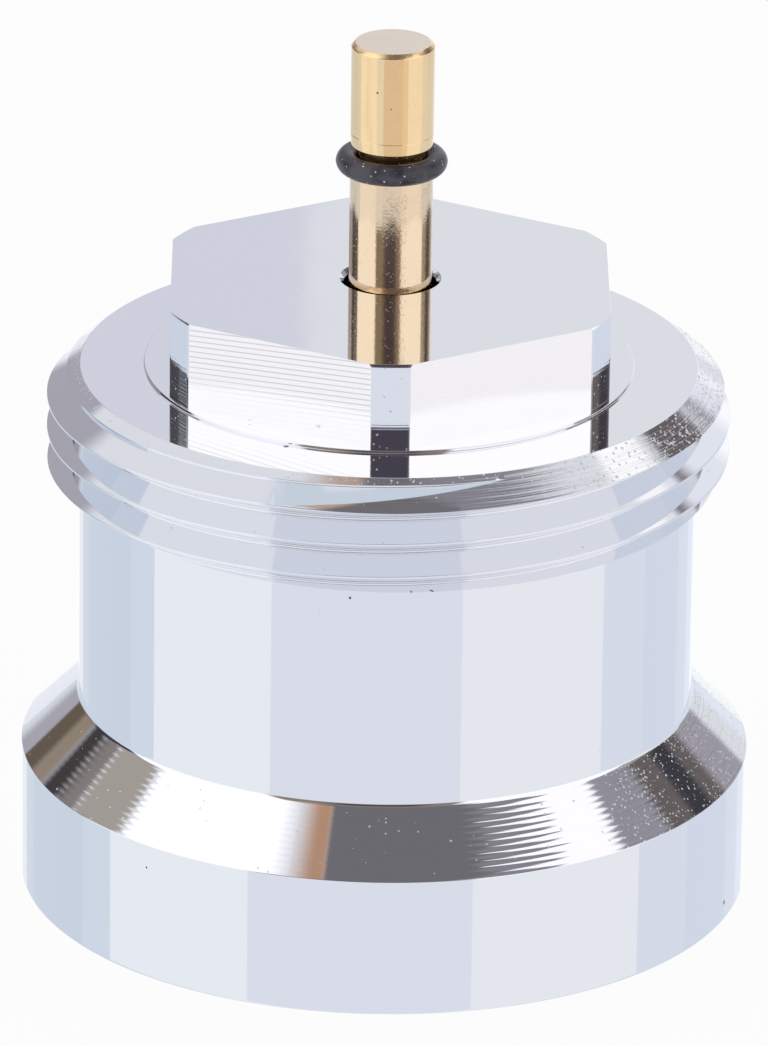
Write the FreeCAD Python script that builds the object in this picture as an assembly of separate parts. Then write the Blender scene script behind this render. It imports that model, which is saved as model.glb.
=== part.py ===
"""Radiator thermostat adapter: from an M28 x 1.5 valve to a head with an M30 x 1.5 nut.

The body is turned from one bar of brass and plated bright. From the bottom up it has
a skirt with the female thread, a 45 degree cone, a plain neck, a flange that carries
the male thread on its rim, and a hexagon for the spanner. A loose brass push pin runs
in a bore through the hexagon and the web under it, and passes the head's push on to
the valve's stem. A rubber ring in a groove near its top stops it on the hexagon.

Millimetres. The origin is the middle of the skirt's lower face, and +Z points up.
The pin is drawn raised, as it stands with the valve open. A corner of the hexagon
points along -Y.
"""
import FreeCAD
import Part

import math
import os

# Both threads have the ISO metric form, with these shares of the pitch
FLANK_ANGLE = 30.0         # each flank, from a plane across the axis
CREST_PER_PITCH = 1 / 8
ROOT_PER_PITCH = 1 / 6
CORE_PER_PITCH = 1.0825    # female thread's outer size less its core

# Female thread, M28 x 1.5, drawn as its core bore
FEMALE_D = 28.0
FEMALE_PITCH = 1.5
FEMALE_H = 7.0             # from the mouth to the shoulder
MOUTH_LIP = 0.2            # radius of the mouth over the thread's outer size

# Skirt and cone
SKIRT_WALL = 2.0           # outside the female thread
SKIRT_H = 6.25
SKIRT_EDGE = 0.12          # broken edge round the lower face
CONE_ANGLE = 45.0          # from the axis

# Neck, its cavity and the web that closes it
NECK_H = 10.15             # from the cone to the flange
NECK_RELIEF = 0.48         # the neck lies this deep under the male thread's root
NECK_WALL = 2.5
NECK_FILLET = 0.3          # where the cone meets the neck
SHOULDER_ANGLE = 59.0      # the drill's shoulder inside, from the axis
WEB = 4.0                  # from the cavity's end to the flange's face

# Flange with the male thread, M30 x 1.5
MALE_D = 29.8              # over the crests
MALE_PITCH = 1.5
MALE_START = 0.56          # middle of the lowest groove over the underside, on the +X side
FLANGE_H = 5.0
TOP_CHAMFER_W = 1.38
TOP_CHAMFER_H = 1.05
END_CHAMFER_H = 0.7
END_LIP = 0.12             # the lower chamfer ends this far over the thread's root

# Hexagon, milled on a turned stub that stands on a low step
HEX_FLATS = 19.0
HEX_H = 4.0                # from the flange's face to the top
HEX_CORNER_OFF = 0.45      # turned off each corner
HEX_CHAMFER = 0.18
STEP_W = 0.15              # the step's edge outside the stub
STEP_H = 0.12

# Push pin
PIN_D = 3.62
PIN_L = 25.0
PIN_REACH = 14.85          # pin's top over the flange's face, valve open
PIN_TOP_CHAMFER = 0.18
PIN_FOOT_CHAMFER = 0.3
PIN_CLEARANCE = 0.21       # all round, in the guide bore
GUIDE_CHAMFER = 0.2

# Rubber ring and its groove
RING_SECTION = 0.94
RING_SEAT = 0.02           # clearance to the groove's floor and its lower wall
GROOVE_PLAY = 0.34         # groove's width over the ring's section
GROOVE_DEPTH = 0.35
GROOVE_BELOW_TOP = 4.65    # pin's top to the groove's upper wall
LIP_H = 0.54               # slight bevel of the land over the groove
LIP_BEVEL = 0.03

# Cutters run past what they cut by this much
CUT_PAST = 0.04

UP = FreeCAD.Vector(0, 0, 1)


def tangent(degrees):
    return math.tan(math.radians(degrees))


# Male thread's section
CREST = MALE_PITCH * CREST_PER_PITCH
ROOT = MALE_PITCH * ROOT_PER_PITCH
MALE_DEPTH = (MALE_PITCH - CREST - ROOT) / 2 / tangent(FLANK_ANGLE)
MALE_ROOT_D = MALE_D - 2 * MALE_DEPTH

# Diameters
CORE_D = FEMALE_D - CORE_PER_PITCH * FEMALE_PITCH
MOUTH_D = FEMALE_D + 2 * MOUTH_LIP
SKIRT_D = FEMALE_D + 2 * SKIRT_WALL
NECK_D = MALE_ROOT_D - 2 * NECK_RELIEF
CAVITY_D = NECK_D - 2 * NECK_WALL
END_D = MALE_ROOT_D + 2 * END_LIP
FACE_D = MALE_D - 2 * TOP_CHAMFER_W
HEX_CORNERS = HEX_FLATS / math.cos(math.radians(30))
STUB_D = HEX_CORNERS - 2 * HEX_CORNER_OFF
STEP_D = STUB_D + 2 * STEP_W
GUIDE_D = PIN_D + 2 * PIN_CLEARANCE
GROOVE_D = PIN_D - 2 * GROOVE_DEPTH

# Heights
CONE_Z = SKIRT_H + (SKIRT_D - NECK_D) / 2 / tangent(CONE_ANGLE)
FLANGE_Z = CONE_Z + NECK_H
FACE_Z = FLANGE_Z + FLANGE_H
STEP_Z = FACE_Z + STEP_H
HEX_Z = FACE_Z + HEX_H
CAVITY_Z = FACE_Z - WEB
SHOULDER_Z = FEMALE_H + (CORE_D - CAVITY_D) / 2 / tangent(SHOULDER_ANGLE)
PIN_Z = FACE_Z + PIN_REACH
FOOT_Z = PIN_Z - PIN_L
GROOVE_Z = PIN_Z - GROOVE_BELOW_TOP
GROOVE_FOOT_Z = GROOVE_Z - RING_SECTION - GROOVE_PLAY


def point(diameter, z):
    """A point of a turned outline, given as a lathe drawing gives it."""
    return FreeCAD.Vector(diameter / 2, 0, z)


def lines(points):
    """Straight edges through the points, in order."""
    return [Part.LineSegment(a, b).toShape() for a, b in zip(points, points[1:])]


def turned(edges):
    """The solid that a closed outline of edges sweeps round the axis."""
    outline = Part.Face(Part.Wire(edges))
    return outline.revolve(FreeCAD.Vector(0, 0, 0), UP, 360)


def neck_fillet():
    """Arc between the cone and the neck, as its lower end, its middle and its upper end."""
    bend = math.radians(CONE_ANGLE)
    reach = NECK_FILLET * math.tan(bend / 2)
    corner = point(NECK_D, CONE_Z)
    low = corner + FreeCAD.Vector(math.sin(bend), 0, -math.cos(bend)) * reach
    high = corner + UP * reach
    centre = high + FreeCAD.Vector(NECK_FILLET, 0, 0)
    middle = centre + (corner - centre).normalize() * NECK_FILLET
    return low, middle, high


def body_blank():
    """The turned body, before its male thread and its flats are cut."""
    fillet_low, fillet_middle, fillet_high = neck_fillet()
    skirt = [
        point(MOUTH_D, 0),
        point(SKIRT_D - 2 * SKIRT_EDGE, 0),
        point(SKIRT_D, SKIRT_EDGE),
        point(SKIRT_D, SKIRT_H),
        fillet_low,
    ]
    flange = [
        fillet_high,
        point(NECK_D, FLANGE_Z),
        point(END_D, FLANGE_Z),
        point(MALE_D, FLANGE_Z + END_CHAMFER_H),
        point(MALE_D, FACE_Z - TOP_CHAMFER_H),
        point(FACE_D, FACE_Z),
    ]
    stub = [
        point(STEP_D, FACE_Z),
        point(STEP_D, STEP_Z),
        point(STUB_D, STEP_Z),
        point(STUB_D, HEX_Z - HEX_CHAMFER),
        point(STUB_D - 2 * HEX_CHAMFER, HEX_Z),
    ]
    guide = [
        point(GUIDE_D + 2 * GUIDE_CHAMFER, HEX_Z),
        point(GUIDE_D, HEX_Z - GUIDE_CHAMFER),
        point(GUIDE_D, CAVITY_Z + GUIDE_CHAMFER),
        point(GUIDE_D + 2 * GUIDE_CHAMFER, CAVITY_Z),
    ]
    cavity = [
        point(CAVITY_D, CAVITY_Z),
        point(CAVITY_D, SHOULDER_Z),
        point(CORE_D, FEMALE_H),
        point(CORE_D, (MOUTH_D - CORE_D) / 2),
        point(MOUTH_D, 0),
    ]
    arc = Part.Arc(fillet_low, fillet_middle, fillet_high).toShape()
    return turned(lines(skirt) + [arc] + lines(flange + stub + guide + cavity))


def male_thread_cutter():
    """The groove of the right-hand thread, run out past both ends of the flange."""
    rim_d = MALE_D + 2 * CUT_PAST
    root_half = ROOT / 2
    rim_half = (MALE_PITCH - CREST) / 2 + CUT_PAST * tangent(FLANK_ANGLE)
    section = [
        point(MALE_ROOT_D, -root_half),
        point(rim_d, -rim_half),
        point(rim_d, rim_half),
        point(MALE_ROOT_D, root_half),
        point(MALE_ROOT_D, -root_half),
    ]
    turns = math.ceil(FLANGE_H / MALE_PITCH) + 2
    helix = Part.makeHelix(MALE_PITCH, turns * MALE_PITCH, MALE_D / 2)
    groove = helix.makePipeShell([Part.Wire(lines(section))], True, True)
    groove.translate(UP * (FLANGE_Z + MALE_START - MALE_PITCH))
    return groove


def flats_cutter():
    """What the mill takes off the stub to leave the hexagon."""
    corners = []
    for i in range(7):
        turn = math.radians(60 * i - 90)
        side = FreeCAD.Vector(math.cos(turn), math.sin(turn), 0)
        corners.append(side * (HEX_CORNERS / 2) + UP * STEP_Z)
    hexagon = Part.Face(Part.makePolygon(corners)).extrude(UP * HEX_H)
    swarf = Part.makeCylinder(HEX_CORNERS, HEX_H, UP * STEP_Z)
    return swarf.cut(hexagon)


def adapter_body():
    return body_blank().cut(flats_cutter()).cut(male_thread_cutter())


def push_pin():
    """Plain pin with a chamfer at each end and the ring's groove near the top."""
    outline = [
        point(0, FOOT_Z),
        point(PIN_D - 2 * PIN_FOOT_CHAMFER, FOOT_Z),
        point(PIN_D, FOOT_Z + PIN_FOOT_CHAMFER),
        point(PIN_D, GROOVE_FOOT_Z),
        point(GROOVE_D, GROOVE_FOOT_Z),
        point(GROOVE_D, GROOVE_Z),
        point(PIN_D - 2 * LIP_BEVEL, GROOVE_Z),
        point(PIN_D, GROOVE_Z + LIP_H),
        point(PIN_D, PIN_Z - PIN_TOP_CHAMFER),
        point(PIN_D - 2 * PIN_TOP_CHAMFER, PIN_Z),
        point(0, PIN_Z),
        point(0, FOOT_Z),
    ]
    return turned(lines(outline))


def rubber_ring():
    """The ring, lying on the lower wall of its groove."""
    half = RING_SECTION / 2
    middle_r = GROOVE_D / 2 + RING_SEAT + half
    return Part.makeTorus(middle_r, half, UP * (GROOVE_FOOT_Z + RING_SEAT + half))


def main():
    os.makedirs("parts", exist_ok=True)
    nodes = {"adapter_body": adapter_body(), "push_pin": push_pin(), "o_ring": rubber_ring()}
    for name, shape in nodes.items():
        shape.exportStep("parts/" + name + ".step")
        print(name, "valid", shape.isValid(), "solids", len(shape.Solids), "volume", round(shape.Volume, 2))


main()
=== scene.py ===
"""Radiator thermostat adapter, dressed for a close studio picture.

A plated brass body has the valve's thread inside its skirt, the head's thread on the rim
of its flange and a hexagon milled on top. A brass push pin with a rubber ring slides
through the hexagon. Each piece has an operator of its own, and so has the stage.
"""

import math

import bmesh
import bpy
from bpy.props import FloatProperty, FloatVectorProperty, IntProperty, PointerProperty
from mathutils import Matrix, Vector


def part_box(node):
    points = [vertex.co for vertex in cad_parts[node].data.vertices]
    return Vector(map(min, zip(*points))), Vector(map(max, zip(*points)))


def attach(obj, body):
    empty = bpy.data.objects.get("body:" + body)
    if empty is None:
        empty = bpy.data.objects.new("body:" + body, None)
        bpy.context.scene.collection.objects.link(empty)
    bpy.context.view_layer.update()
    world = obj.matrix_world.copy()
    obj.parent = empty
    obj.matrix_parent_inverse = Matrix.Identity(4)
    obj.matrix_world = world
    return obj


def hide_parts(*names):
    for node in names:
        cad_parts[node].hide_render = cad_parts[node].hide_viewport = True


bl_info = {
    "name": "Radiator Thermostat Adapter",
    "version": (1, 0, 0),
    "blender": (4, 5, 0),
    "location": "3D View > Sidebar > Adapter",
    "description": "Models and dresses a plated adapter with its push pin and rubber ring",
    "category": "Add Mesh",
}

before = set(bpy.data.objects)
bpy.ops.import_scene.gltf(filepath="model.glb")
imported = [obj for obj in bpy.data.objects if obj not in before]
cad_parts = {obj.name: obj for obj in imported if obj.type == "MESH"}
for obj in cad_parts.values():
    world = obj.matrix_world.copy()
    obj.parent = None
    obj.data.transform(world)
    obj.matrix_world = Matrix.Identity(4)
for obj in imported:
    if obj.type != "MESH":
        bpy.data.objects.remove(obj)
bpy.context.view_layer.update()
BODY_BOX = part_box("adapter_body")
PIN_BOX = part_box("push_pin")
RING_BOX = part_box("o_ring")

MM = 0.001
HEX_SIDES = 6
WELD = 0.0005 * MM             # points nearer than this are one point
ARC_STEP = math.radians(18)    # the longest bend that one piece of a rounded edge takes
SHARP = math.radians(32)       # a steeper edge stays crisp
SWEEP_PAST = 0.4 * MM          # cutters run past what they cut by this much
HEAD_FLARE = (0.007 * MM, 0.04 * MM)     # how far a groove opens past its crests
VALVE_FLARE = (0.014 * MM, 0.08 * MM)
VALVE_START = -0.6             # turns from the mouth to where the inner groove starts
MILL_REACH = 1.3               # the mill's ring reaches this far past the flats it leaves
ON_FLAT = 0.001 * MM           # a face this near the flats' distance from the axis is a flat
UPRIGHT = 0.01                 # and so is one whose normal rises no more than this
SAME_SLOPE = 0.006             # faces whose normals rise this much alike have one slope


# Settings in the sidebar

def length(name, description, millimetres):
    """A size kept in metres, which the sidebar shows in the scene's unit."""
    return FloatProperty(name=name, description=description, default=millimetres * MM,
                         min=0.0, precision=5, subtype="DISTANCE", unit="LENGTH")


def colour(name, description, default):
    """A surface or light colour, linear."""
    return FloatVectorProperty(name=name, description=description, default=default,
                               min=0.0, max=1.0, subtype="COLOR")


def share(name, description, default):
    """A plain number from 0 to 1."""
    return FloatProperty(name=name, description=description, default=default, min=0.0,
                         max=1.0, subtype="FACTOR")


def angle(name, description, degrees):
    """An angle, given here in degrees."""
    return FloatProperty(name=name, description=description, default=math.radians(degrees),
                         subtype="ANGLE", unit="ROTATION")


def side(name, description, default):
    """A direction that a face looks in."""
    return FloatVectorProperty(name=name, description=description, default=default,
                               subtype="XYZ")


class AdapterBody(bpy.types.PropertyGroup):
    """Turned shape of the body, without its threads"""
    skirt_radius: length("Skirt radius", "Outside of the skirt", BODY_BOX[1].x / MM)
    skirt_height: length("Skirt height", "From the lower face to the cone", 6.25)
    skirt_edge: length("Skirt edge", "Rounding of the skirt's lower edge", 0.14)
    mouth_radius: length("Mouth radius", "Opening of the skirt at the lower face", 14.2)
    shoulder_height: length("Shoulder height", "Depth of the valve's thread", 7.0)
    shoulder_rise: length("Shoulder rise", "Height of the drilled shoulder", 1.315)
    cavity_radius: length("Cavity radius", "Inside of the neck", 11.0)
    cavity_height: length("Cavity height", "From the lower face to the web", 19.9)
    neck_radius: length("Neck radius", "Outside of the neck", 13.5)
    neck_fillet: length("Neck fillet", "Rounding between the cone and the neck", 0.3)
    flange_foot: length("Flange foot", "Height of the flange's underside", 18.9)
    flange_foot_radius: length("Flange foot radius", "Lower chamfer's small end", 14.1)
    flange_foot_chamfer: length("Flange foot chamfer", "Height of the lower chamfer", 0.7)
    flange_radius: length("Flange radius", "Flange over the thread's crests", 14.9)
    flange_face: length("Flange face", "Height of the flange's upper face", 23.9)
    face_radius: length("Face radius", "Edge of the flange's upper face", 13.46)
    face_chamfer: length("Face chamfer", "Height of the upper chamfer", 1.05)
    guide_radius: length("Guide radius", "Bore that the pin slides in", 2.02)
    guide_chamfer: length("Guide chamfer", "Chamfer at both ends of the bore", 0.2)
    edge: length("Edge break", "Rounding of the turned edges", 0.05)
    steps: IntProperty(name="Steps", description="Flat strips round the body", default=192, min=48)


class AdapterHexagon(bpy.types.PropertyGroup):
    """Hexagon for the spanner"""
    half_flats: length("Half of the flats", "From the axis to each flat", 9.5)
    stub_radius: length("Stub radius", "Turned stub that the flats are milled on", 10.52)
    step_radius: length("Step radius", "Low step under the stub", 10.67)
    step_height: length("Step height", "Height of that step", 0.12)
    chamfer: length("Chamfer", "Height of the turned bevel on the corners", 0.14)
    chamfer_depth: length("Chamfer depth", "How far that bevel comes in", 0.045)
    edge: length("Milled edge", "Break along the milled edges", 0.045)


class AdapterThreads(bpy.types.PropertyGroup):
    """Both threads"""
    pitch: length("Pitch", "Rise of each thread in one turn", 1.5)
    head_root_radius: length("Head thread root", "Floor of the outer thread's groove", 13.77)
    head_root_half: length("Head root half", "Half of that floor's width", 0.045)
    head_start: length("Head thread start", "Groove over the flange's foot, at +X", 0.604)
    valve_radius: length("Valve thread radius", "Floor of the inner thread's groove", 14.0)
    valve_root_half: length("Valve root half", "Half of that floor's width", 0.094)
    valve_core_radius: length("Valve thread core", "Bore inside the inner thread", 13.188)
    valve_run: FloatProperty(name="Valve thread turns", description="Turns that the tap cuts",
                             default=4.6, min=1.0)
    flank: angle("Flank angle", "Slope of each flank", 30)
    root_fillet: length("Root fillet", "Rounding in the floor of the grooves", 0.03)
    crest_edge: length("Crest edge", "Rounding along the inner thread's crests", 0.06)
    head_crest_edge: length("Head crest edge", "Rounding along the outer crests", 0.03)


class AdapterPin(bpy.types.PropertyGroup):
    """Push pin"""
    radius: length("Radius", "Plain part of the pin", 1.81)
    top_edge: length("Top edge", "Chamfer round the upper end", 0.18)
    foot_chamfer: length("Foot chamfer", "Chamfer at the lower end", 0.3)
    groove_radius: length("Groove radius", "Floor of the ring's groove", 1.46)
    groove_below_top: length("Groove below top", "Pin's top to the groove's upper wall", 4.65)
    groove_width: length("Groove width", "Width of the ring's groove", 1.28)
    lip_height: length("Lip height", "Slight bevel over the groove", 0.54)
    lip_bevel: length("Lip bevel", "How far that bevel comes in", 0.03)
    lip_line: length("Lip line", "Depth of the fine line over the bevel", 0.018)
    edge: length("Edge break", "Rounding of the turned edges", 0.03)
    steps: IntProperty(name="Steps", description="Flat strips round the pin", default=96, min=24)


class AdapterRing(bpy.types.PropertyGroup):
    """Rubber ring"""
    section_radius: length("Section radius", "Half of the ring's thickness", 0.47)
    middle_radius: length("Middle radius", "From the axis to the middle of the section", 1.95)
    mould_line: length("Mould line", "Height of the flash left by the mould", 0.008)
    steps: IntProperty(name="Steps", description="Flat strips round the ring", default=128, min=32)
    section_steps: IntProperty(name="Section steps", description="Strips round its section",
                               default=40, min=12)


class AdapterFinish(bpy.types.PropertyGroup):
    """Colours and marks of the finishes"""
    plate: colour("Plate", "Bright nickel plate", (0.86, 0.87, 0.90))
    # Milled plate: a lighter colour on the flats, a painted highlight for the light they catch
    # from above.
    milled: colour("Milled plate", "Plate on the milled flats", (0.99, 0.96, 0.955))
    # Groove plate: a darker colour in the tool marks, painted shade in those recesses.
    groove: colour("Groove", "Plate in the bottom of deep marks", (0.30, 0.30, 0.33))
    # Nick: a dark colour painted on the listed spots; the surface has no dent there.
    nick: colour("Nick", "Dirt in a nick or a pit", (0.10, 0.10, 0.11))
    plate_roughness: share("Plate roughness", "How far the plate blurs what it mirrors", 0.03)
    feed: length("Feed", "Rise of the turning tool in one turn", 0.30)
    mill_step: length("Mill step", "Distance between the milled lines", 0.24)
    mill_side: side("Coarse side", "Direction that the coarsely milled flat faces",
                    (-0.5, -0.866, 0.0))
    mark_depth: length("Mark depth", "Depth of the tool marks", 0.0025)
    brass: colour("Brass", "Drawn brass rod", (1.0, 0.75, 0.43))
    # Rubbed brass: a paler brass on the lower pin, a painted highlight for its washed-out bright
    # reflections.
    brass_painted_pale: colour("Rubbed brass", "Pin where it runs in the bore", (0.91, 0.71, 0.49))
    # Deep brass: darker random streaks, and also a painted reflection, the warm band down the
    # pin's front.
    brass_streaks_and_painted_reflection: colour("Deep brass", "Darker streaks in the brass", (0.90, 0.57, 0.28))
    # Painted reflection side: the pin's front strip facing -Y, where deep brass paints a warm
    # reflection band.
    painted_reflection_side: side("Deep side", "Direction that the deeper streak of brass faces",
                     (0.077, -0.997, 0.0))
    brass_end: colour("Brass end", "Dull film on the pin's turned end", (0.97, 0.88, 0.77))
    brass_roughness: share("Brass roughness", "How far the brass blurs what it mirrors", 0.09)
    # Tarnish: brown specks, and also a painted darkening of the reflections on the pin's side and
    # front strips.
    tarnish_and_painted_reflection: colour("Tarnish", "Brown film on the brass", (0.22, 0.14, 0.07))
    rubber: colour("Rubber", "Black rubber", (0.026, 0.024, 0.030))
    bloom: colour("Bloom", "Greyish film on the rubber", (0.11, 0.105, 0.135))
    dust: colour("Dust", "Pale dust and lint", (0.80, 0.80, 0.82))


class AdapterStudio(bpy.types.PropertyGroup):
    """Camera and stage"""
    lens: FloatProperty(name="Lens", description="Focal length in millimetres", default=382.71)
    distance: length("Camera distance", "From the aim to the camera", 487.15)
    aim_height: length("Aim height", "Height that the camera looks at", 16.386)
    elevation: angle("Camera elevation", "Angle over the horizon", 22.039)
    azimuth: angle("Camera azimuth", "Turn round the adapter, from its front", -0.47)
    roll: angle("Camera roll", "Turn about the line of sight", 0.749)
    aside: angle("Camera aside", "Turn of the line of sight off the axis, to the left", 0.0166)
    tent: colour("Tent", "Pale cloth of the light tent", (0.80, 0.81, 0.85))
    floor_size: length("Floor size", "Side of the pale floor", 4000.0)
    floor_shadow: share("Floor shadow", "How much of the floor takes the room's light", 0.06)


# Modelling helpers

def set_mode(mode):
    """Puts the active object in object or edit mode."""
    bpy.ops.object.mode_set(mode=mode)


def select_all():
    """In edit mode: selects the whole mesh."""
    bpy.ops.mesh.select_all(action="SELECT")


def start_clean():
    """Object mode with nothing selected."""
    if bpy.context.object and bpy.context.object.mode != "OBJECT":
        set_mode("OBJECT")
    bpy.ops.object.select_all(action="DESELECT")


def pick(piece):
    """Makes a piece the only selected and the active object."""
    start_clean()
    piece.select_set(True)
    bpy.context.view_layer.objects.active = piece


def modify(piece, kind, **settings):
    """Adds a modifier with its settings made, and applies it."""
    pick(piece)
    bpy.ops.object.modifier_add(type=kind)
    modifier = piece.modifiers[-1]
    for key, setting in settings.items():
        setattr(modifier, key, setting)
    bpy.ops.object.modifier_apply(modifier=modifier.name)


def edge_arc(before, corner, after, radius):
    """Points of the arc that rounds a corner between its two neighbours."""
    back = (before - corner).normalized()
    on = (after - corner).normalized()
    bend = math.pi - back.angle(on)
    reach = radius * math.tan(bend / 2)
    centre = corner + (back + on).normalized() * (radius / math.cos(bend / 2))
    first = corner + back * reach - centre
    last = corner + on * reach - centre
    steps = max(2, math.ceil(bend / ARC_STEP))
    points = []
    for i in range(steps + 1):
        part = bend * i / steps
        arm = (first * math.sin(bend - part) + last * math.sin(part)) / math.sin(bend)
        points.append(centre + arm)
    return points


def rounded(corners, closed):
    """Points of an outline whose corners are (radius, height, rounding)."""
    places = [Vector((r, 0, z)) for r, z, rounding in corners]
    points = []
    for i, (r, z, rounding) in enumerate(corners):
        inner = closed or 0 < i < len(corners) - 1
        if inner and rounding > 0:
            after = places[(i + 1) % len(places)]
            points += edge_arc(places[i - 1], places[i], after, rounding)
        else:
            points.append(places[i])
    if closed:
        points.append(points[0])
    return points


def trace(name, points):
    """A wire drawn through the points by extruding one vertex from each to the next."""
    start_clean()
    bpy.ops.mesh.primitive_plane_add(size=MM)
    wire = bpy.context.object
    wire.name = wire.data.name = name
    set_mode("EDIT")
    bpy.ops.mesh.select_mode(type="VERT")
    select_all()
    bpy.ops.mesh.merge(type="CENTER")
    bpy.ops.transform.translate(value=points[0])
    for here, there in zip(points, points[1:]):
        bpy.ops.mesh.extrude_vertices_move(TRANSFORM_OT_translate={"value": there - here})
    select_all()
    bpy.ops.mesh.remove_doubles(threshold=WELD)
    set_mode("OBJECT")
    return wire


def select_parts(piece, kind, wanted):
    """In edit mode: selects the corners or edges that wanted() picks."""
    bpy.ops.mesh.select_all(action="DESELECT")
    bpy.ops.mesh.select_mode(type=kind)
    mesh = bmesh.from_edit_mesh(piece.data)
    for part in mesh.verts if kind == "VERT" else mesh.edges:
        part.select_set(wanted(part))
    bmesh.update_edit_mesh(piece.data)


def face_outwards():
    """In edit mode: turns every face outwards."""
    select_all()
    bpy.ops.mesh.normals_make_consistent(inside=False)


def close_skin():
    """In edit mode: closes open ends, and turns every face outwards."""
    bpy.ops.mesh.select_all(action="DESELECT")
    bpy.ops.mesh.select_non_manifold()
    bpy.ops.mesh.fill_holes(sides=0)
    face_outwards()


def turn(name, corners, steps, closed=True):
    """A turned piece: its half section spun round the axis."""
    piece = trace(name, rounded(corners, closed))
    set_mode("EDIT")
    select_all()
    bpy.ops.mesh.spin(steps=steps, angle=math.tau, center=(0, 0, 0), axis=(0, 0, 1))
    select_all()
    bpy.ops.mesh.remove_doubles(threshold=WELD)
    face_outwards()
    set_mode("OBJECT")
    return piece


def sweep_thread(name, corners, start, pitch, turns, steps):
    """A thread's groove as a solid: its section climbs a right-hand helix from start."""
    groove = trace(name, rounded([(r, z + start, e) for r, z, e in corners], True))
    strips = round(steps * turns)
    modify(groove, "SCREW", axis="Z", angle=math.tau * turns, screw_offset=pitch * turns,
           steps=strips, render_steps=strips, use_merge_vertices=False)
    set_mode("EDIT")
    close_skin()
    set_mode("OBJECT")
    return groove


def cut(piece, cutter):
    """Takes the cutter's volume out of the piece, and removes the cutter."""
    modify(piece, "BOOLEAN", operation="DIFFERENCE", solver="EXACT", object=cutter)
    bpy.data.objects.remove(cutter)


def smooth(piece, crisp=None):
    """Smooth shading that keeps large faces flat, and crisp the edges that crisp() picks."""
    pick(piece)
    bpy.ops.object.shade_smooth_by_angle(angle=SHARP)
    if crisp:
        set_mode("EDIT")
        select_parts(piece, "EDGE", crisp)
        bpy.ops.mesh.mark_sharp()
        set_mode("OBJECT")
    modify(piece, "WEIGHTED_NORMAL", keep_sharp=True, weight=100)


# Body

def body_corners(body, hexagon, threads):
    """Half section of the body as (radius, height, rounding), up its outside and down inside."""
    edge = body.edge
    step = body.flange_face + hexagon.step_height
    top = BODY_BOX[1].z
    core = threads.valve_core_radius
    cone = body.skirt_height + body.skirt_radius - body.neck_radius
    return [
        (body.mouth_radius, 0, edge),
        (body.skirt_radius, 0, body.skirt_edge),
        (body.skirt_radius, body.skirt_height, edge),
        (body.neck_radius, cone, body.neck_fillet),
        (body.neck_radius, body.flange_foot, 3 * edge),
        (body.flange_foot_radius, body.flange_foot, edge),
        (body.flange_radius, body.flange_foot + body.flange_foot_chamfer, edge),
        (body.flange_radius, body.flange_face - body.face_chamfer, edge),
        (body.face_radius, body.flange_face, edge),
        (hexagon.step_radius, body.flange_face, edge / 2),
        (hexagon.step_radius, step, edge / 2),
        (hexagon.stub_radius, step, 0),
        (hexagon.stub_radius, top - hexagon.chamfer, edge / 2),
        (hexagon.stub_radius - hexagon.chamfer_depth, top, edge / 4),
        (body.guide_radius + body.guide_chamfer, top, edge / 2),
        (body.guide_radius, top - body.guide_chamfer, edge / 2),
        (body.guide_radius, body.cavity_height + body.guide_chamfer, edge / 2),
        (body.guide_radius + body.guide_chamfer, body.cavity_height, edge / 2),
        (body.cavity_radius, body.cavity_height, 8 * edge),
        (body.cavity_radius, body.shoulder_height + body.shoulder_rise, edge),
        (core, body.shoulder_height, 3 * edge),
        (core, body.mouth_radius - core, edge),
    ]


def mill_hexagon(piece, body, hexagon):
    """Mills the six flats off the stub, and breaks the edges that the mill leaves."""
    floor = body.flange_face + hexagon.step_height
    corner = hexagon.half_flats / math.cos(math.pi / HEX_SIDES)
    start_clean()
    bpy.ops.mesh.primitive_circle_add(vertices=HEX_SIDES, radius=corner, location=(0, 0, floor))
    mill = bpy.context.object
    bpy.ops.object.transform_apply(location=True)
    set_mode("EDIT")
    select_all()
    bpy.ops.mesh.extrude_edges_move()
    bpy.ops.transform.resize(value=(MILL_REACH, MILL_REACH, 1), center_override=(0, 0, floor))
    select_all()
    climb = BODY_BOX[1].z - floor + SWEEP_PAST
    bpy.ops.mesh.extrude_region_move(TRANSFORM_OT_translate={"value": (0, 0, climb)})
    face_outwards()
    set_mode("OBJECT")
    cut(piece, mill)
    set_mode("EDIT")
    select_parts(piece, "EDGE", leaves_mill(floor, hexagon))
    bpy.ops.mesh.bevel(offset=hexagon.edge, segments=2, affect="EDGES", clamp_overlap=True)
    set_mode("OBJECT")


def leaves_mill(floor, hexagon):
    """A test for the edges between a milled flat and what isn't one."""
    def flat(face):
        middle = face.calc_center_median()
        out = face.normal.x * middle.x + face.normal.y * middle.y
        upright = abs(face.normal.z) < UPRIGHT
        return upright and middle.z > floor and abs(out - hexagon.half_flats) < ON_FLAT

    def milled(edge):
        flats = [flat(face) for face in edge.link_faces]
        low = max(v.co.z for v in edge.verts) < floor + WELD
        return flats.count(True) == 1 and not low

    return milled


def groove_section(threads, root, crest, root_half, crest_edge, flare):
    """Section of a thread's groove, from its floor's radius out past its crests' radius."""
    past = math.copysign(1, crest - root)
    crest_z = root_half + abs(crest - root) * math.tan(threads.flank)
    mouth, rise = flare
    half = [
        (root, root_half, threads.root_fillet),
        (crest, crest_z, crest_edge),
        (crest + past * mouth, crest_z + rise, 0),
        (crest + past * SWEEP_PAST, crest_z + rise, 0),
    ]
    return half + [(r, -z, rounding) for r, z, rounding in reversed(half)]


def cut_head_thread(piece, body, threads):
    """Cuts the outer thread, which runs out past both ends of the flange."""
    section = groove_section(threads, threads.head_root_radius, body.flange_radius,
                             threads.head_root_half, threads.head_crest_edge, HEAD_FLARE)
    turns = math.ceil((body.flange_face - body.flange_foot) / threads.pitch) + 2
    start = body.flange_foot + threads.head_start - threads.pitch
    cut(piece, sweep_thread("head_groove", section, start, threads.pitch, turns, body.steps))


def chamfer_rise(width, height):
    """How far the normal of a chamfer rises."""
    return width / math.hypot(width, height)


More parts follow.
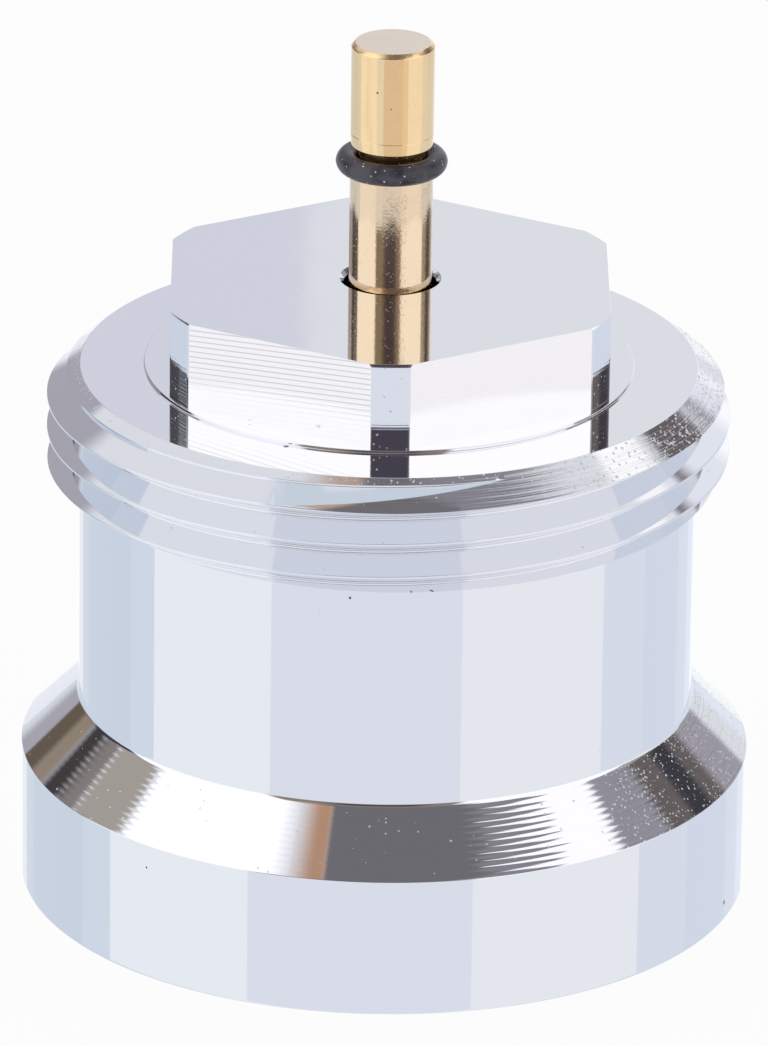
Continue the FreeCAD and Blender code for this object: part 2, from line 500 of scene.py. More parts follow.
def meets_chamfer(body, threads):
    """A test for the edges where a flank of the head's thread runs out into a chamfer."""
    flank = math.cos(threads.flank)
    foot = chamfer_rise(body.flange_radius - body.flange_foot_radius, body.flange_foot_chamfer)
    face = chamfer_rise(body.flange_radius - body.face_radius, body.face_chamfer)

    def crisp(edge):
        rises = sorted(abs(side.normal.z) for side in edge.link_faces)
        if len(rises) != 2 or abs(rises[1] - flank) > SAME_SLOPE:
            return False
        return min(abs(rises[0] - foot), abs(rises[0] - face)) < SAME_SLOPE

    return crisp


def cut_valve_thread(piece, body, threads):
    """Cuts the inner thread from the mouth almost to the shoulder, as a tap does."""
    section = groove_section(threads, threads.valve_radius, threads.valve_core_radius,
                             threads.valve_root_half, threads.crest_edge, VALVE_FLARE)
    groove = sweep_thread("valve_groove", section, VALVE_START * threads.pitch, threads.pitch,
                          threads.valve_run, body.steps)
    cut(piece, groove)


def raise_flash(piece, ring, height):
    """Draws out the thin line that the mould's joint leaves round the ring."""
    def at_joint(corner):
        outside = corner.co.xy.length > ring.middle_radius
        return outside and abs(corner.co.z - height) < WELD

    set_mode("EDIT")
    select_parts(piece, "VERT", at_joint)
    drawn = 1 + ring.mould_line / (ring.middle_radius + ring.section_radius)
    bpy.ops.transform.resize(value=(drawn, drawn, 1), center_override=(0, 0, height))
    set_mode("OBJECT")


# Materials

NOISE_DETAIL = 2.0
NOISE_ROUGHNESS = 0.6
MARK_NOISE = 1.7             # cells of noise for each mark
SPECK_SIZES = (0.35, 1.1)    # smallest and largest speck, as shares of the given radius
SPECK_CORE = 0.6             # share of a speck that is full before its rim fades
PATCH_NOISE = (0.38, 0.64)   # noise from which a patch starts, and where it is full

# The output and the inputs of the shared effects
EFFECT_SOCKETS = {
    "turning_marks": ("Height", "Place", "Spacing", "Unevenness"),
    "milling_marks": ("Height", "Place", "Facing", "Spacing", "Slant", "Unevenness"),
    "specks": ("Mask", "Place", "Cell", "Share", "Radius"),
    "patches": ("Mask", "Place", "Size"),
}
VECTORS = ("Place", "Facing")


class Graph:
    """Adds nodes and links to one node tree."""

    def __init__(self, tree):
        self.nodes = tree.nodes
        self.links = tree.links

    def feed(self, socket, value):
        """Links a socket to an input, or sets the input to a plain value."""
        if isinstance(value, bpy.types.NodeSocket):
            self.links.new(value, socket)
        elif value is not None:
            socket.default_value = value

    def add(self, kind, *values, **settings):
        """A node with its settings made and its first inputs fed; None leaves an input alone."""
        node = self.nodes.new(kind)
        for key, setting in settings.items():
            setattr(node, key, setting)
        for socket, value in zip(node.inputs, values):
            self.feed(socket, value)
        return node

    def maths(self, operation, *values):
        """What an operation makes of numbers."""
        return self.add("ShaderNodeMath", *values, operation=operation).outputs[0]

    def times(self, first, second):
        """Two values multiplied."""
        return self.maths("MULTIPLY", first, second)

    def most(self, first, second):
        """The larger of two values."""
        return self.maths("MAXIMUM", first, second)

    def plus(self, base, value, amount):
        """A base value and an amount of another."""
        return self.maths("MULTIPLY_ADD", value, amount, base)

    def vector(self, operation, *values):
        """What an operation makes of vectors."""
        node = self.add("ShaderNodeVectorMath", *values, operation=operation)
        plain = operation in ("DOT_PRODUCT", "LENGTH")
        return node.outputs["Value" if plain else "Vector"]

    def parts(self, vector):
        """X, Y and Z of a vector."""
        return self.add("ShaderNodeSeparateXYZ", vector).outputs

    def spokes(self, place):
        """How far a place is from the adapter's axis."""
        return self.vector("LENGTH", self.vector("MULTIPLY", place, (1, 1, 0)))

    def noise(self, place, scale):
        """Soft noise, at a scale in cells per metre."""
        return self.add("ShaderNodeTexNoise", place, None, scale, NOISE_DETAIL,
                        NOISE_ROUGHNESS).outputs[0]

    def fade(self, value, start, stop, low=0.0, high=1.0):
        """Runs smoothly from low to high while the value goes from start to stop."""
        return self.add("ShaderNodeMapRange", value, start, stop, low, high,
                        interpolation_type="SMOOTHSTEP").outputs[0]

    def fade_mm(self, value, start, stop, low=0.0, high=1.0):
        """The same for a length, with start and stop in millimetres."""
        return self.fade(value, start * MM, stop * MM, low, high)

    def ease(self, mask, low, high):
        """Runs smoothly from low to high while a mask goes from 0 to 1."""
        return self.fade(mask, 0.0, 1.0, low, high)

    def blend(self, share, first, second):
        """From the first colour to the second by the share."""
        node = self.add("ShaderNodeMix", share, data_type="RGBA")
        self.feed(node.inputs[6], opaque(first))
        self.feed(node.inputs[7], opaque(second))
        return node.outputs[2]

    def effect(self, fill, *values):
        """What a shared effect, built at its first use, puts out."""
        tree = bpy.data.node_groups.get(fill.__name__) or shared_effect(fill)
        return self.add("ShaderNodeGroup", *values, node_tree=tree).outputs[0]


def opaque(shade):
    """A plain colour with its alpha. A socket stays as it is."""
    return shade if isinstance(shade, bpy.types.NodeSocket) else (*shade, 1)


def shared_effect(fill):
    """A node group with named inputs and one output, the number that fill() makes of them."""
    tree = bpy.data.node_groups.new(fill.__name__, "ShaderNodeTree")
    output, *inputs = EFFECT_SOCKETS[fill.__name__]
    for label in inputs:
        kind = "NodeSocketVector" if label in VECTORS else "NodeSocketFloat"
        tree.interface.new_socket(label, in_out="INPUT", socket_type=kind)
    tree.interface.new_socket(output, in_out="OUTPUT", socket_type="NodeSocketFloat")
    graph = Graph(tree)
    given = graph.add("NodeGroupInput").outputs
    graph.feed(graph.add("NodeGroupOutput").inputs[output], fill(graph, given))
    return tree


def turning_marks(graph, given):
    """Rings that the turning tool's feed leaves on walls, cones and faces round the axis."""
    height = graph.parts(given["Place"])["Z"]
    climb = graph.maths("SUBTRACT", graph.spokes(given["Place"]), height)
    return marks(graph, climb, given)


def milling_marks(graph, given):
    """Slanted lines that the cutter leaves along an upright flat."""
    across = graph.vector("CROSS_PRODUCT", (0, 0, 1), given["Facing"])
    along = graph.vector("DOT_PRODUCT", given["Place"], across)
    height = graph.parts(given["Place"])["Z"]
    climb = graph.maths("SUBTRACT", height, graph.times(along, given["Slant"]))
    return marks(graph, climb, given)


def marks(graph, climb, given):
    """One mark for each spacing of the climb, more or less even in depth."""
    run = graph.maths("DIVIDE", climb, given["Spacing"])
    wave = graph.plus(0.5, graph.maths("SINE", graph.times(run, math.tau)), 0.5)
    noise = graph.add("ShaderNodeTexNoise", None, run, MARK_NOISE, NOISE_DETAIL,
                      NOISE_ROUGHNESS, noise_dimensions="1D")
    depth = graph.add("ShaderNodeMix", given["Unevenness"], data_type="FLOAT")
    graph.feed(depth.inputs[2], wave)
    graph.feed(depth.inputs[3], noise.outputs[0])
    return depth.outputs[0]


def specks(graph, given):
    """Small round marks scattered at random: one in some of the cells of the given size."""
    fine = graph.maths("DIVIDE", 1.0, given["Cell"])
    cells = graph.add("ShaderNodeTexVoronoi", given["Place"], None, fine)
    chance = graph.add("ShaderNodeSeparateColor", cells.outputs["Color"]).outputs
    chosen = graph.maths("LESS_THAN", chance["Red"], given["Share"])
    wide = graph.times(given["Radius"], graph.ease(chance["Green"], *SPECK_SIZES))
    dot = graph.fade(cells.outputs["Distance"], wide, graph.times(wide, SPECK_CORE))
    return graph.times(dot, chosen)


def patches(graph, given):
    """Soft uneven areas."""
    fine = graph.maths("DIVIDE", 1.0, given["Size"])
    return graph.fade(graph.noise(given["Place"], fine), *PATCH_NOISE)


def new_material(name):
    """A material's graph, shader, place and facing."""
    material = bpy.data.materials.new(name)
    material.use_nodes = True
    graph = Graph(material.node_tree)
    where = graph.add("ShaderNodeTexCoord").outputs
    return material, graph, graph.nodes["Principled BSDF"], where["Object"], where["Normal"]


def put_surface(graph, shader, metal, surface, gloss, relief, depth):
    """Feeds the shader: whether it is metal, its colour, its roughness and its relief."""
    shader.inputs["Metallic"].default_value = metal
    graph.feed(shader.inputs["Base Color"], surface)
    graph.feed(shader.inputs["Roughness"], gloss)
    bump = graph.add("ShaderNodeBump", 1.0, depth)
    graph.feed(bump.inputs["Height"], relief)
    graph.feed(shader.inputs["Normal"], bump.outputs[0])


# Dark nicks as (radius, azimuth, height, size), in millimetres and degrees
BODY_NICKS = [
    (10.9, -24.0, 23.95, 0.16),
    (14.4, 33.9, 22.0, 0.09),
    (13.5, -7.0, 18.35, 0.07),
    (16.0, 69.2, 0.9, 0.13),
    (16.0, -40.0, 5.2, 0.06),
]
PIN_NICKS = [
    (1.81, -21.6, 37.0, 0.06),
    (1.74, 26.0, 38.68, 0.05),
    (1.81, -2.0, 36.3, 0.04),
]


def nicks(graph, place, marks):
    """1 in the dark nicks."""
    mask = None
    for radius, azimuth, height, size in marks:
        turn = math.radians(azimuth)
        spot = Vector((radius * math.sin(turn), -radius * math.cos(turn), height)) * MM
        away = graph.vector("LENGTH", graph.vector("SUBTRACT", place, spot))
        dot = graph.fade_mm(away, size, SPECK_CORE * size)
        mask = graph.maths("ADD", mask, dot) if mask else dot
    return mask


# Where the plate's marks come and go: start, stop, and the shares before and after.
# SLOPE is 1 at 45 degrees, SIDE is X over the radius, and the rest are in millimetres.
CHATTER_SLOPE = (0.55, 0.95, 0.05, 1.0)
CHATTER_FROM = (0.12, 0.30, 0.03, 1.0)
CHATTER_TO = (0.50, 0.64, 3.0, 0.85)
CHATTER_LEFT = (-0.55, -0.68, 0.0, 0.85)
CHATTER_ENDS = (0.84, 0.94, 1.0, 0.2)
PITTED_SLOPE = (0.55, 0.80, 0.02, 1.0)
PITTED_X = (9.3, 10.2, 0.05, 0.80)
BRUSHED_X = (-2, 6, 0.25, 1.0)
SPECKLED_X = (5, 7.5, 0.10, 0.90)
CLEAN_X_FROM = (10.0, 9.7)
CLEAN_X_TO = (11.0, 11.4)
WIDE_PITS_X = (7.8, 8.8)
LIP_X_MIDDLE = (5, 4)
LIP_X_SIDES = (11.5, 12)
LIP_RADIUS = (13.80, 13.75)
MILLED_FACING = (0.80, 0.95, 0.05, 1.0)
MILLED_HEIGHT = (24.7, 26.2, 0.08, 1.0)

CHATTER_FEEDS = 1.4          # the coarse marks' spacing over the tool's feed
FINE_FEED = 0.18 * MM
MILL_SLANT = 0.085
PIT_CELL = 0.14 * MM
PIT_RADIUS = 0.45
WIDER_PITS = 0.25
CORNER_PITS = 0.10
MARK_SHADE_SHARE = 0.42            # how strongly painted shade darkens the plate in the deep marks
ON_FACE = 0.03 * MM          # how near a face's distance from the axis has to be
SAME_RISE = 0.02             # and how near the rise of its normal


def plate_places(graph, place, facing, body, hexagon):
    """Where a place is on the body, and masks of its flats, corners, slopes and chamfer."""
    where = graph.parts(place)
    radius = graph.spokes(place)
    rise = graph.parts(facing)["Z"]
    tilt = graph.plus(-1.0, graph.times(rise, rise), 2.0)
    slope = graph.maths("SUBTRACT", 1.0, graph.maths("ABSOLUTE", tilt))
    out = graph.vector("DOT_PRODUCT", place, facing)
    chamfer = chamfer_rise(body.flange_radius - body.face_radius, body.face_chamfer)
    chamfer = graph.maths("COMPARE", rise, chamfer, SAME_RISE)
    pitted = graph.fade_mm(where["X"], *PITTED_X)
    return {
        "x": where["X"],
        "height": where["Z"],
        "radius": radius,
        "side": graph.maths("DIVIDE", where["X"], radius),
        "slope": slope,
        "flat": graph.maths("COMPARE", out, hexagon.half_flats, ON_FACE),
        "corner": graph.maths("COMPARE", out, hexagon.stub_radius, ON_FACE),
        "chamfer": chamfer,
        "sloped": graph.times(graph.fade(slope, *PITTED_SLOPE), pitted),
        "brushed": graph.times(chamfer, graph.fade_mm(where["X"], *BRUSHED_X)),
    }


def plate_marks(graph, finish, place, facing, at):
    """The fine turning marks, the milled ones, where those are, and the relief of all."""
    side = at["side"]
    chatter = graph.times(graph.fade(side, *CHATTER_FROM), graph.fade(side, *CHATTER_TO))
    chatter = graph.most(chatter, graph.fade(side, *CHATTER_LEFT))
    chatter = graph.times(graph.fade(at["slope"], *CHATTER_SLOPE), chatter)
    ends = graph.fade(graph.maths("ABSOLUTE", side), *CHATTER_ENDS)
    turned = graph.effect(turning_marks, place, finish.feed * CHATTER_FEEDS, 0.4)
    turned = graph.times(turned, graph.times(chatter, ends))
    fine = graph.effect(turning_marks, place, FINE_FEED, 0.9)
    share = graph.most(graph.times(at["sloped"], 0.4), at["brushed"])
    share = graph.plus(share, at["corner"], 1.2)
    turned = graph.plus(turned, fine, share)
    milled = graph.effect(milling_marks, place, facing, finish.mill_step, MILL_SLANT, 0.15)
    coarse = graph.vector("DOT_PRODUCT", facing, finish.mill_side)
    coarse = graph.times(graph.fade(coarse, *MILLED_FACING),
                         graph.fade_mm(at["height"], *MILLED_HEIGHT))
    coarse = graph.times(coarse, at["flat"])
    return fine, milled, coarse, graph.plus(turned, milled, coarse)


def plate_pits(graph, place, at, uneven):
    """1 in the small pits, which gather on the slopes and on the flange's chamfer."""
    clean = graph.most(graph.fade_mm(at["x"], *CLEAN_X_FROM),
                       graph.fade_mm(at["x"], *CLEAN_X_TO))
    speckled = graph.times(clean, graph.fade_mm(at["x"], *SPECKLED_X))
    share = graph.plus(graph.times(at["brushed"], speckled), at["corner"], CORNER_PITS)
    away = graph.maths("ABSOLUTE", at["x"])
    away = graph.most(graph.fade_mm(away, *LIP_X_MIDDLE), graph.fade_mm(away, *LIP_X_SIDES))
    lip = graph.times(at["chamfer"], graph.fade_mm(at["radius"], *LIP_RADIUS))
    share = graph.most(share, graph.times(lip, away))
    share = graph.times(graph.most(at["sloped"], share), uneven)
    wide = graph.times(at["chamfer"], graph.fade_mm(at["x"], *WIDE_PITS_X))
    wide = graph.plus(PIT_RADIUS, wide, WIDER_PITS)
    return graph.effect(specks, place, PIT_CELL, share, wide)


def plated(finish, body, hexagon):
    """Bright nickel plate with turning and milling marks and small pits in the brass, painted
    shade in the marks and a painted lighter colour on the milled flats.
    """
    material, graph, shader, place, facing = new_material("bright_plate")
    at = plate_places(graph, place, facing, body, hexagon)
    fine, milled, coarse, relief = plate_marks(graph, finish, place, facing, at)
    rough_areas = graph.effect(patches, place, 4 * MM)
    uneven = graph.ease(rough_areas, 0.35, 1.0)
    pits = plate_pits(graph, place, at, uneven)

    # Milled lines and turning streaks, darkened as painted shade in the bottom of the marks.
    lines = graph.times(graph.fade(milled, 0.25, 0.11), coarse)
    streaks = graph.most(at["sloped"], at["brushed"])
    streaks = graph.times(graph.fade(fine, 0.48, 0.36), streaks)
    lines = graph.most(lines, graph.times(streaks, uneven))
    # The flats take the lighter milled colour, a painted highlight.
    surface = graph.blend(at["flat"], finish.plate, finish.milled)
    surface = graph.blend(graph.times(lines, MARK_SHADE_SHARE), surface, finish.groove)
    surface = graph.blend(nicks(graph, place, BODY_NICKS), surface, finish.nick)

    matt = graph.times(graph.fade(fine, 0.52, 0.66), at["brushed"])
    gloss = graph.plus(finish.plate_roughness, rough_areas, 0.015)
    for mask, rougher in ((at["flat"], 0.10), (pits, 0.60), (matt, 0.22)):
        gloss = graph.plus(gloss, mask, rougher)
    put_surface(graph, shader, 1, surface, gloss, relief, finish.mark_depth)
    return material


SHANK_HEIGHT = (33.4, 32.6)  # where the lower part painted paler as a highlight ends, in millimetres
DRAWN = (1, 1, 0.05)         # the rod was drawn along Z, which stretches its streaks

# Scales of noise, in cells per metre
STREAK_SCALE = 1600.0
BRASS_GRAIN = 8000.0
RUBBER_GRAIN = 5200.0


def brass(finish):
    """Drawn brass rod: fine grain, faint streaks, a painted reflection down the front, a lower
    part painted paler as a highlight, brown film partly painted as dark reflection, and a dull
    turned end.
    """
    material, graph, shader, place, facing = new_material("drawn_brass")
    streaks = graph.noise(graph.vector("MULTIPLY", place, DRAWN), STREAK_SCALE)
    grain = graph.noise(place, BRASS_GRAIN)
    patch = graph.effect(patches, place, 1.4 * MM)
    dots = graph.effect(specks, place, 0.8 * MM, 0.05, 0.10)
    turned = graph.effect(turning_marks, place, 0.16 * MM, 0.7)

    turned_to = graph.parts(facing)
    aside, rise = turned_to["X"], turned_to["Z"]
    end = graph.fade(rise, 0.9, 0.98)
    bevel = graph.fade(rise, 0.2, 0.5)
    # Lower part of the pin, which is painted paler brass as a highlight.
    shank = graph.fade_mm(graph.parts(place)["Z"], *SHANK_HEIGHT)
    # A thin strip facing -Y, which deep brass paints as a warm reflection band.
    front = graph.fade(graph.vector("DOT_PRODUCT", facing, finish.painted_reflection_side), 0.950, 0.960)
    # Strips on the lower pin's sides and front where it mirrors dark things: rougher, grainier,
    # with painted darkening.
    rough_areas = graph.most(graph.fade(aside, 0.70, 0.76), graph.fade(aside, -0.80, -0.86))
    rough_areas = graph.times(graph.most(front, rough_areas), shank)
    pits = graph.effect(specks, place, 0.10 * MM, graph.ease(rough_areas, 0.05, 0.30), 0.40)

    # Random streaks, and the front strip's painted reflection band.
    deep = graph.most(graph.times(front, 0.85), graph.fade(streaks, 0.50, 0.75))
    # Brown film in patches on those strips: partly tarnish, partly painted dark reflection.
    film = graph.times(patch, graph.fade(grain, 0.40, 0.70, 0.0, 0.35))
    film = graph.times(film, graph.ease(rough_areas, 0.2, 1.0))
    surface = graph.blend(deep, finish.brass, finish.brass_streaks_and_painted_reflection)
    # Painted highlight: paler brass on the lower pin.
    surface = graph.blend(shank, surface, finish.brass_painted_pale)
    surface = graph.blend(end, surface, finish.brass_end)
    surface = graph.blend(film, surface, finish.tarnish_and_painted_reflection)
    surface = graph.blend(dots, surface, finish.tarnish_and_painted_reflection)
    surface = graph.blend(nicks(graph, place, PIN_NICKS), surface, finish.nick)

    gloss = finish.brass_roughness
    for mask, rougher in ((bevel, 0.14), (rough_areas, 0.05), (pits, 0.35), (end, 0.35)):
        gloss = graph.plus(gloss, mask, rougher)
    relief = graph.plus(graph.times(grain, graph.ease(rough_areas, 0.45, 1.0)), turned, 0.12)
    put_surface(graph, shader, 1, surface, gloss, relief, 2.0 * finish.mark_depth)
    return material


def rubber(finish):
    """Black rubber with a soft sheen, a fine grain and specks of dust."""
    material, graph, shader, place, _ = new_material("black_rubber")
    patch = graph.effect(patches, place, 1.2 * MM)
    dust = graph.effect(specks, place, 0.18 * MM, 0.24, 0.28)
    surface = graph.blend(graph.ease(patch, 0.1, 0.6), finish.rubber, finish.bloom)
    surface = graph.blend(dust, surface, finish.dust)
    gloss = graph.plus(graph.ease(patch, 0.30, 0.42), dust, 0.5)
    relief = graph.plus(graph.noise(place, RUBBER_GRAIN), dust, 3.0)
    put_surface(graph, shader, 0, surface, gloss, relief, 1.6 * finish.mark_depth)
    return material


# Operators

class ADAPTER_OT_body(bpy.types.Operator):
    """Turn the body, mill its hexagon and cut both threads"""
    bl_idname = "adapter.make_body"
    bl_label = "Make Body"

    def execute(self, context):
        scene = context.scene
        body, hexagon, threads = scene.adapter_body, scene.adapter_hexagon, scene.adapter_threads
        piece = turn("plated_body", body_corners(body, hexagon, threads), body.steps)
        mill_hexagon(piece, body, hexagon)
        cut_head_thread(piece, body, threads)
        cut_valve_thread(piece, body, threads)
        smooth(piece, meets_chamfer(body, threads))
        piece.data.materials.append(plated(scene.adapter_finish, body, hexagon))
        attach(piece, "adapter")
        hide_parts("adapter_body")
        return {"FINISHED"}


class ADAPTER_OT_pin(bpy.types.Operator):
    """Turn the brass push pin with its groove"""
    bl_idname = "adapter.make_pin"
    bl_label = "Make Push Pin"

    def execute(self, context):
        pin = context.scene.adapter_pin
        low, high = PIN_BOX
        wall = high.z - pin.groove_below_top
        foot = wall - pin.groove_width
        line = wall + pin.lip_height
        corners = [
            (0, low.z, 0),
            (pin.radius - pin.foot_chamfer, low.z, pin.edge),
            (pin.radius, low.z + pin.foot_chamfer, pin.edge),
            (pin.radius, foot, pin.edge),
            (pin.groove_radius, foot, pin.edge),
            (pin.groove_radius, wall, pin.edge),
            (pin.radius - pin.lip_bevel, wall, pin.edge),
            (pin.radius - pin.lip_line / 3, line - pin.lip_line, 0),
            (pin.radius - pin.lip_line, line, 0),
            (pin.radius, line + pin.lip_line, 0),
            (pin.radius, high.z - pin.top_edge, 2 * pin.edge),
            (pin.radius - pin.top_edge, high.z, 2 * pin.edge),
            (0, high.z, 0),
        ]
        piece = turn("brass_pin", corners, pin.steps, closed=False)
        smooth(piece)
        piece.data.materials.append(brass(context.scene.adapter_finish))
        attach(piece, "pin")
        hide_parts("push_pin")
        return {"FINISHED"}


class ADAPTER_OT_ring(bpy.types.Operator):
    """Mould the rubber ring"""
    bl_idname = "adapter.make_ring"
    bl_label = "Make Rubber Ring"

    def execute(self, context):
        ring = context.scene.adapter_ring
        height = (RING_BOX[0].z + RING_BOX[1].z) / 2
        start_clean()
        bpy.ops.mesh.primitive_torus_add(
            major_radius=ring.middle_radius, minor_radius=ring.section_radius,
            major_segments=ring.steps, minor_segments=ring.section_steps,
            location=(0, 0, height))
        piece = context.object
        piece.name = piece.data.name = "rubber_ring"
        bpy.ops.object.transform_apply(location=True)
        raise_flash(piece, ring, height)
        smooth(piece)
        piece.data.materials.append(rubber(context.scene.adapter_finish))
        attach(piece, "pin")
        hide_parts("o_ring")
        return {"FINISHED"}


# Stage

def studio_direction(graph):
    """Azimuth from the front and height over the horizon of a direction, both in degrees."""
    place = graph.add("ShaderNodeTexCoord").outputs["Generated"]
    split = graph.parts(place)
    front = graph.times(split["Y"], -1.0)
    turned = graph.maths("ARCTAN2", split["X"], front)
    risen = graph.maths("ARCSINE", split["Z"])
    return graph.maths("DEGREES", turned), graph.maths("DEGREES", risen)


def window(graph, value, low, high, soft_low, soft_high):
    """1 between low and high, fading to 0 over the soft widths."""
    rise = graph.fade(value, low - soft_low / 2, low + soft_low / 2)
    fall = graph.fade(value, high + soft_high / 2, high - soft_high / 2)
    return graph.times(rise, fall)


# Bands that the upright walls mirror from the table: azimuth where each starts, and its colour
TABLE_BANDS = [
    (-180, (1.00, 1.01, 1.03)),
    (-171, (0.88, 0.90, 0.95)),
    (-160, (0.70, 0.76, 0.84)),
    (-150, (0.66, 0.73, 0.82)),
    (-112, (0.71, 0.77, 0.86)),
    (-98, (0.91, 0.935, 0.975)),
    (-44, (0.79, 0.82, 0.90)),
    (28, (0.90, 0.91, 0.95)),
    (88, (0.76, 0.80, 0.88)),
    (112, (0.72, 0.77, 0.87)),
    (140, (0.77, 0.81, 0.90)),
    (152, (0.85, 0.88, 0.98)),
    (162, (1.00, 1.02, 1.03)),
]

# Cards over the table as (name, azimuths, heights, soft edges, colour), later ones in front.
# The soft edges are those to the left, to the right, and above and below.
CARDS = [
    ("left_back_high", (-200, -112), (69, 90), (4, 20, 4), (0.64, 0.71, 0.79)),
    ("right_back_high", (112, 200), (69, 90), (20, 4, 4), (0.64, 0.71, 0.79)),
    ("right_bright", (132, 139), (41, 48), (3, 3, 4), (1.06, 1.04, 1.05)),
    ("right_rear", (138, 156), (8, 40), (4, 4, 6), (0.85, 0.87, 0.94)),
    ("left_back", (-174, -141), (0, 33), (8, 3, 6), (0.42, 0.41, 0.46)),
    ("left_low", (-142, -130), (0, 22), (2, 3, 3), (0.40, 0.39, 0.43)),
    ("left_rear", (-200, -172), (10, 40), (4, 5, 8), (0.70, 0.71, 0.79)),
    ("right_back", (155, 172), (6, 21), (5, 8, 6), (1.08, 1.07, 1.10)),
    ("side_walls", (-112, 112), (0, 36), (6, 6, 6), (1.15, 1.16, 1.18)),
    ("left_softbox", (-104, -45), (37, 61), (3, 3, 3), (1.25, 1.23, 1.24)),
    ("right_roof", (34, 102.5), (50, 90), (10, 10, 5), (0.26, 0.25, 0.28)),
    ("front_low", (-42, 28), (0, 44), (6, 6, 6), (0.27, 0.23, 0.19)),
    ("front_gap", (-19, 15), (10, 36), (16, 12, 10), (0.075, 0.065, 0.085)),
    ("front_high", (-31, 50), (44, 71), (5, 16, 6), (0.17, 0.165, 0.18)),
    ("right_softbox", (40, 96), (37, 55), (6, 3, 2), (1.16, 1.13, 1.16)),
    ("warm_roof", (-82, -40), (73, 86), (20, 12, 5), (0.52, 0.38, 0.31)),
    ("roof", (-52, 56), (69, 90), (20, 24, 3), (0.18, 0.17, 0.18)),
    ("warm_strip", (-42, -30), (48, 69), (14, 4, 4), (0.50, 0.29, 0.19)),
    ("right_grey", (97, 113), (30, 45), (2, 3, 4), (0.32, 0.31, 0.35)),
    ("right_card", (112, 128), (40, 50.5), (4, 3, 2), (1.15, 1.13, 1.13)),
    ("right_corner", (95, 113), (8, 30), (3, 2, 4), (0.40, 0.38, 0.34)),
    ("right_dark", (112, 142), (15, 38), (3, 4, 3), (0.15, 0.13, 0.13)),
    ("right_slot", (120, 128), (20, 28), (3, 3, 3), (0.05, 0.05, 0.06)),
    ("right_low", (134, 147), (3, 23), (4, 3, 4), (0.38, 0.36, 0.40)),
    ("left_grey", (-121, -104), (24, 38.5), (3, 2, 2), (0.41, 0.37, 0.33)),
    ("left_brown", (-128, -120.5), (20, 28.5), (3, 3, 2), (0.25, 0.22, 0.21)),
    ("left_foot", (-130, -103), (0, 23), (4, 6, 6), (0.05, 0.05, 0.065)),
    ("left_dark", (-147.5, -133), (4, 16), (1.5, 3, 2), (0.14, 0.11, 0.08)),
    ("left_gap", (-141, -135), (10, 19), (3, 3, 3), (0.31, 0.25, 0.19)),
    ("left_slot", (-134, -127), (12, 23), (3, 3, 3), (0.06, 0.05, 0.05)),
]


def build_world(context):
    """White to the camera, and to everything else a tent of pale cards with dark gaps."""
    world = bpy.data.worlds.new("studio")
    context.scene.world = world
    world.use_nodes = True
    graph = Graph(world.node_tree)
    azimuth, height = studio_direction(graph)
    across = graph.plus(0.5, azimuth, 1 / 360)
    ramp = graph.add("ShaderNodeValToRGB", across, name="table bands")
    ramp.color_ramp.interpolation = "CONSTANT"
    stops = ramp.color_ramp.elements
    for start, shade in TABLE_BANDS:
        at = (start + 180) / 360
        stop = stops[0] if start == -180 else stops.new(at)
        stop.position = at
        stop.color = (*shade, 1)
    stops.remove(stops[-1])
    above = graph.fade(height, -3.0, 0.0)
    shade = graph.blend(above, ramp.outputs[0], context.scene.adapter_studio.tent)
    for name, sides, heights, soft, light in CARDS:
        beside = window(graph, azimuth, *sides, soft[0], soft[1])
        up = window(graph, height, *heights, soft[2], soft[2])
        shade = graph.blend(graph.times(beside, up), shade, light)
        shade.node.label = name
    seen = graph.add("ShaderNodeLightPath").outputs["Is Camera Ray"]
    graph.feed(graph.nodes["Background"].inputs["Color"], shade)
    white = graph.add("ShaderNodeBackground", (1, 1, 1, 1)).outputs[0]
    mix = graph.add("ShaderNodeMixShader", seen, graph.nodes["Background"].outputs[0], white)
    graph.feed(graph.nodes["World Output"].inputs["Surface"], mix.outputs[0])
    world.cycles.sampling_method = "NONE"


def build_floor(studio):
    """A pale floor that is white to the camera but for a faint shadow."""
    start_clean()
    bpy.ops.mesh.primitive_plane_add(size=studio.floor_size)
    floor = bpy.context.object
    floor.name = floor.data.name = "floor"
    material = bpy.data.materials.new("pale_floor")
    material.use_nodes = True
    graph = Graph(material.node_tree)
    graph.nodes.remove(graph.nodes["Principled BSDF"])
    matt = graph.add("ShaderNodeBsdfDiffuse", (1, 1, 1, 1)).outputs[0]
    glow = graph.add("ShaderNodeEmission").outputs[0]
    mix = graph.add("ShaderNodeMixShader", studio.floor_shadow, glow, matt).outputs[0]
    graph.feed(graph.nodes["Material Output"].inputs["Surface"], mix)
    floor.data.materials.append(material)
    floor.visible_glossy = False


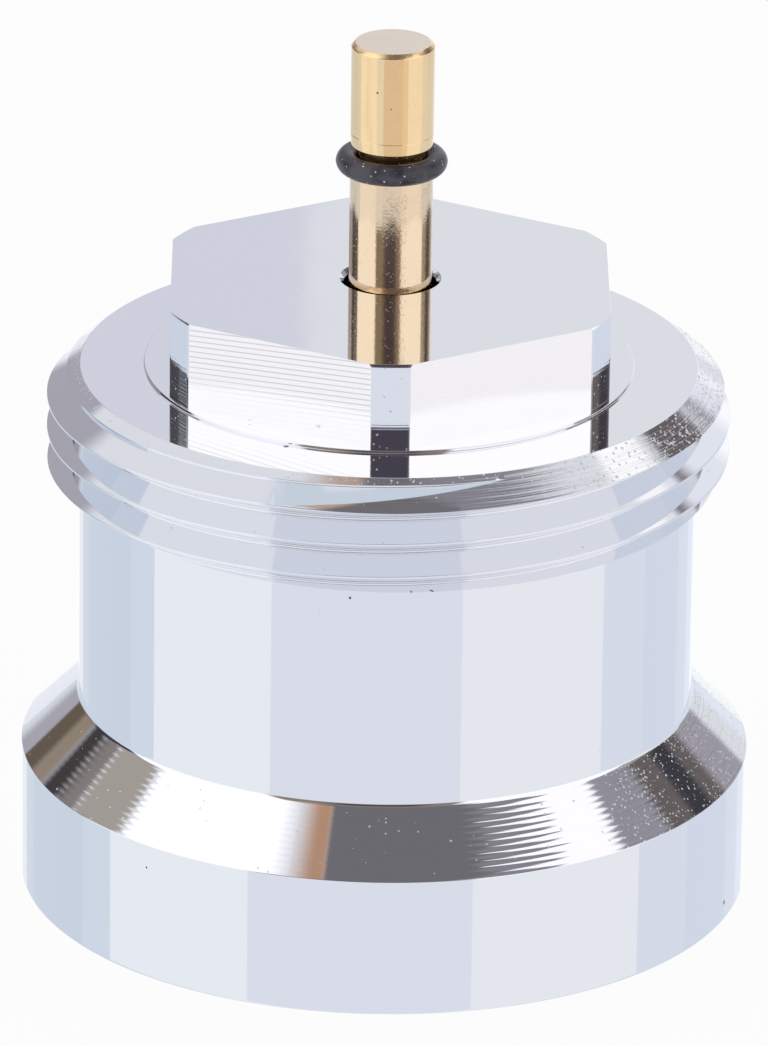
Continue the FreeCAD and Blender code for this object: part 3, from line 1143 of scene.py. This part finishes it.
def build_camera(scene, studio):
    """The photograph's view."""
    lens = bpy.data.cameras.new("camera")
    lens.lens = studio.lens
    camera = bpy.data.objects.new("camera", lens)
    scene.collection.objects.link(camera)
    back = studio.distance * math.cos(studio.elevation)
    rise = studio.distance * math.sin(studio.elevation)
    place = Matrix.Translation((0, -back, studio.aim_height + rise))
    aside = Matrix.Rotation(studio.aside, 4, "Z")
    tilt = Matrix.Rotation(math.pi / 2 - studio.elevation, 4, "X")
    roll = Matrix.Rotation(studio.roll, 4, "Z")
    camera.matrix_world = Matrix.Rotation(studio.azimuth, 4, "Z") @ place @ aside @ tilt @ roll
    scene.camera = camera


class ADAPTER_OT_stage(bpy.types.Operator):
    """Set up the floor, the light and the camera"""
    bl_idname = "adapter.make_stage"
    bl_label = "Make Stage"

    def execute(self, context):
        scene = context.scene
        build_world(context)
        build_floor(scene.adapter_studio)
        build_camera(scene, scene.adapter_studio)
        scene.view_settings.view_transform = "Standard"
        return {"FINISHED"}


class ADAPTER_PT_panel(bpy.types.Panel):
    """Sizes, finishes and operators of the adapter"""
    bl_idname = "ADAPTER_PT_panel"
    bl_label = "Thermostat Adapter"
    bl_space_type = "VIEW_3D"
    bl_region_type = "UI"
    bl_category = "Adapter"

    def draw(self, context):
        for operator in OPERATORS:
            self.layout.operator(operator.bl_idname)
        for name, group in SETTINGS.items():
            box = self.layout.box()
            box.label(text=group.__doc__)
            for key in group.__annotations__:
                box.prop(getattr(context.scene, name), key)


SETTINGS = {
    "adapter_body": AdapterBody,
    "adapter_hexagon": AdapterHexagon,
    "adapter_threads": AdapterThreads,
    "adapter_pin": AdapterPin,
    "adapter_ring": AdapterRing,
    "adapter_finish": AdapterFinish,
    "adapter_studio": AdapterStudio,
}
OPERATORS = [ADAPTER_OT_body, ADAPTER_OT_pin, ADAPTER_OT_ring, ADAPTER_OT_stage]


def register():
    for name, group in SETTINGS.items():
        bpy.utils.register_class(group)
        setattr(bpy.types.Scene, name, PointerProperty(type=group))
    for thing in [*OPERATORS, ADAPTER_PT_panel]:
        bpy.utils.register_class(thing)


def unregister():
    for thing in [ADAPTER_PT_panel, *reversed(OPERATORS)]:
        bpy.utils.unregister_class(thing)
    for name, group in reversed(SETTINGS.items()):
        delattr(bpy.types.Scene, name)
        bpy.utils.unregister_class(group)


def main():
    register()
    bpy.ops.adapter.make_body()
    bpy.ops.adapter.make_pin()
    bpy.ops.adapter.make_ring()
    bpy.ops.adapter.make_stage()


if __name__ == "__main__":
    main()
